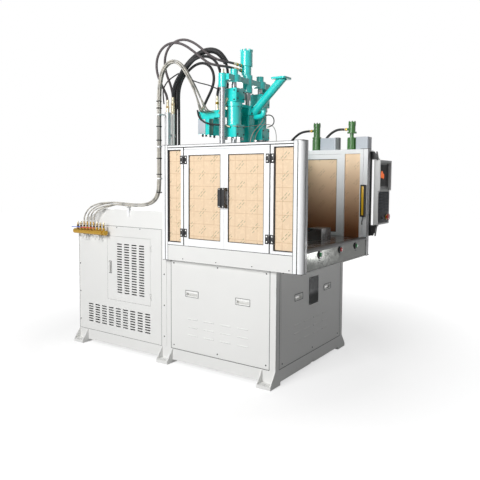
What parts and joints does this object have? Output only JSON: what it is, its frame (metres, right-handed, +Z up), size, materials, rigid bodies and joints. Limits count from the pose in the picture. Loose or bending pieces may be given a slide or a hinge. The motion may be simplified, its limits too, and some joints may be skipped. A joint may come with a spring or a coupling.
{
  "type": "vertical injection moulding machine",
  "caption": "Vertical injection moulding machine with a guarded clamp on tie bars, an injection unit above, hoses from a rear power cabinet and a swing-out operator panel.",
  "frame": {"origin": "on the floor, at the centre of the four corner anchor holes", "axes": "+Z up; the operator stands at -Y and faces +Y; -X is the long side with the cabinet door"},
  "size_m": [1.7603, 2.6168, 2.859],
  "materials": {
    "white_paint": "satin",
    "teal_paint": "satin",
    "green_paint": "satin",
    "grey_paint": "satin",
    "black_metal": "satin",
    "black_plastic": "matte",
    "white_plastic": "gloss",
    "machined_steel": "brushed",
    "hard_chrome": "polished",
    "brass": "satin",
    "amber_pane": "glossy",
    "hose_rubber": "matte",
    "tube_plastic": "satin",
    "red_plastic": "gloss",
    "green_plastic": "gloss",
    "lever_plastic": "gloss"
  },
  "bodies": {
    "machine": {"base_frame": "white_paint", "sheet_panels": "white_paint", "panel_pulls": "white_plastic", "cabinet_shell": "white_paint", "power_unit": "grey_paint", "guard_frame": "white_paint", "fixed_panes": "amber_pane", "hinge_leaves": "black_metal", "deck": "machined_steel", "front_sill": "black_metal", "control_box": "white_paint", "light_curtains": "black_plastic", "riser_block": "machined_steel", "panel_post": "black_metal", "work_table": "teal_paint", "clamp_cylinder": "teal_paint", "side_shelf": "white_paint", "auxiliary_units": "green_paint", "auxiliary_boxes": "grey_paint", "water_manifold": "brass", "valve_levers": "lever_plastic", "hose_risers": "white_paint", "riser_fittings": "brass", "hose_1": "hose_rubber", "hose_2": "hose_rubber", "hose_3": "hose_rubber", "loop_a": "hose_rubber", "loop_b": "hose_rubber", "water_tube_1": "tube_plastic", "water_tube_2": "tube_plastic", "water_tube_3": "tube_plastic", "water_tube_4": "tube_plastic"},
    "front_door_left": {"left_front_door": "white_paint", "left_front_door_pane": "amber_pane"},
    "rear_door_left": {"left_rear_door": "white_paint", "left_rear_door_pane": "amber_pane"},
    "front_door_right": {"right_front_door": "white_paint", "right_front_door_pane": "amber_pane"},
    "rear_door_right": {"right_rear_door": "white_paint", "right_rear_door_pane": "amber_pane"},
    "cabinet_flap": {"cabinet_door": "white_paint"},
    "latch": {"cabinet_latch": "black_metal"},
    "left_start": {"start_button_left": "green_plastic"},
    "stop": {"stop_button": "red_plastic"},
    "right_start": {"start_button_right": "green_plastic"},
    "operator_panel": {"panel_housing": "white_paint"},
    "emergency_stop": {"panel_stop": "red_plastic"},
    "clamp": {"tie_bars": "hard_chrome", "pull_plate": "teal_paint", "upper_platen": "teal_paint", "columns": "hard_chrome", "injection_body": "teal_paint", "barrel": "teal_paint", "hopper_chute": "teal_paint", "terminal_boxes": "teal_paint", "unit_fittings": "brass"},
    "injection_head": {"crosshead": "teal_paint", "piston_rods": "hard_chrome", "screw_motor": "teal_paint"},
    "plasticising_screw": {"screw": "machined_steel"}
  },
  "joints": [
    {"name": "left_front_door_hinge", "type": "hinge", "parent": "machine", "child": "front_door_left", "pos_m": [-0.691, -1.107, 1.477], "axis": [0, 0, 1], "range_deg": [0, 110]},
    {"name": "left_rear_door_hinge", "type": "hinge", "parent": "machine", "child": "rear_door_left", "pos_m": [-0.691, -0.26, 1.477], "axis": [0, 0, 1], "range_deg": [-110, 0]},
    {"name": "right_front_door_hinge", "type": "hinge", "parent": "machine", "child": "front_door_right", "pos_m": [0.691, -1.107, 1.477], "axis": [0, 0, 1], "range_deg": [-110, 0]},
    {"name": "right_rear_door_hinge", "type": "hinge", "parent": "machine", "child": "rear_door_right", "pos_m": [0.691, -0.26, 1.477], "axis": [0, 0, 1], "range_deg": [0, 110]},
    {"name": "cabinet_door_hinge", "type": "hinge", "parent": "machine", "child": "cabinet_flap", "pos_m": [-0.64, 0.1725, 0.779], "axis": [0, 0, 1], "range_deg": [0, 110]},
    {"name": "latch_turn", "type": "hinge", "parent": "cabinet_flap", "child": "latch", "pos_m": [-0.635, 0.692, 0.781], "axis": [1, 0, 0], "range_deg": [0, 90]},
    {"name": "left_start_press", "type": "slide", "parent": "machine", "child": "left_start", "axis": [0, 1, 0], "range_m": [0, 0.004], "stiffness_N_per_m": 1500, "springref_m": -0.004},
    {"name": "stop_press", "type": "slide", "parent": "machine", "child": "stop", "axis": [0, 1, 0], "range_m": [0, 0.004], "stiffness_N_per_m": 1500, "springref_m": -0.004},
    {"name": "right_start_press", "type": "slide", "parent": "machine", "child": "right_start", "axis": [0, 1, 0], "range_m": [0, 0.004], "stiffness_N_per_m": 1500, "springref_m": -0.004},
    {"name": "panel_swing", "type": "hinge", "parent": "machine", "child": "operator_panel", "pos_m": [0.735, -1.425, 1.5075], "axis": [0, 0, 1], "range_deg": [-80, 0]},
    {"name": "emergency_stop_press", "type": "slide", "parent": "operator_panel", "child": "emergency_stop", "axis": [0, 1, 0], "range_m": [0, 0.004], "stiffness_N_per_m": 1500, "springref_m": -0.004},
    {"name": "clamp_travel", "type": "slide", "parent": "machine", "child": "clamp", "axis": [0, 0, 1], "range_m": [-0.26, 0], "deforming": ["hose_1", "hose_2", "hose_3", "loop_a", "loop_b", "water_tube_1", "water_tube_2", "water_tube_3", "water_tube_4"]},
    {"name": "injection_travel", "type": "slide", "parent": "clamp", "child": "injection_head", "axis": [0, 0, 1], "range_m": [-0.05, 0.1], "deforming": ["loop_a", "loop_b"]},
    {"name": "screw_spin", "type": "hinge", "parent": "injection_head", "child": "plasticising_screw", "pos_m": [0, -0.448, 2.1], "axis": [0, 0, 1], "continuous": true}
  ]
}
